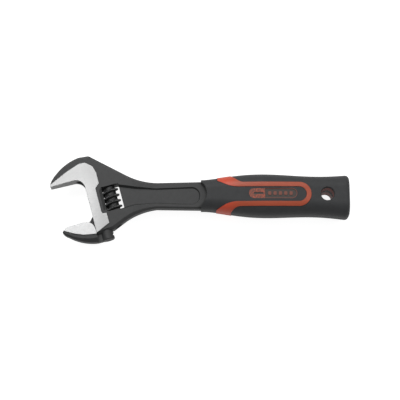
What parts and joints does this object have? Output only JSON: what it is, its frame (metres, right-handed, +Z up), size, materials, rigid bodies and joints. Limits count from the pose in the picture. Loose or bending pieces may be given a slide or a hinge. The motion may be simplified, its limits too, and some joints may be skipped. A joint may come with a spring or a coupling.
{
  "type": "adjustable wrench",
  "caption": "Open-end adjustable wrench with an angled forged head, a worm-driven sliding jaw and a two-component moulded grip with a hanging hole.",
  "frame": {"origin": "centre of the bounding box in plan, at the height of the grip's underside, so the tool lies flat on its grip", "axes": "+X from the head to the butt of the grip along the handle, +Y across the handle toward the fixed jaw's side, +Z up, square to the flat faces"},
  "size_m": [0.2038, 0.0602, 0.0246],
  "materials": {
    "forged_steel": "black phosphated forging, jaw faces ground bright",
    "jaw_steel": "black phosphated forging, jaw face ground bright",
    "knurl_steel": "blackened turned steel",
    "pin_steel": "zinc plated",
    "spring_steel": "bright spring wire",
    "plate": "moulded orange with a black field",
    "core": "orange hard plastic",
    "cover_front": "black soft grip",
    "cover_rear": "black soft grip"
  },
  "bodies": {
    "wrench": {"body": "forged_steel", "knurl_pin": "pin_steel", "knurl_spring": "spring_steel", "name_plate": "plate", "grip_core": "core", "grip_front_cover": "cover_front", "grip_rear_cover": "cover_rear"},
    "jaw": {"movable_jaw": "jaw_steel"},
    "knurl": {"adjusting_knurl": "knurl_steel"}
  },
  "joints": [
    {"name": "jaw_slide", "type": "slide", "parent": "wrench", "child": "jaw", "axis": [-0.2588, 0.9659, 0], "range_m": [-0.0002, 0.0297]},
    {"name": "knurl_spin", "type": "hinge", "parent": "wrench", "child": "knurl", "pos_m": [-0.05986, 0.0004, 0.0123], "axis": [-0.2588, 0.9659, 0], "range_deg": [-2700, 30]}
  ],
  "couplings": [
    {"joint": "knurl_spin", "follows": "jaw_slide", "rad_per_m": -1570.8}
  ]
}
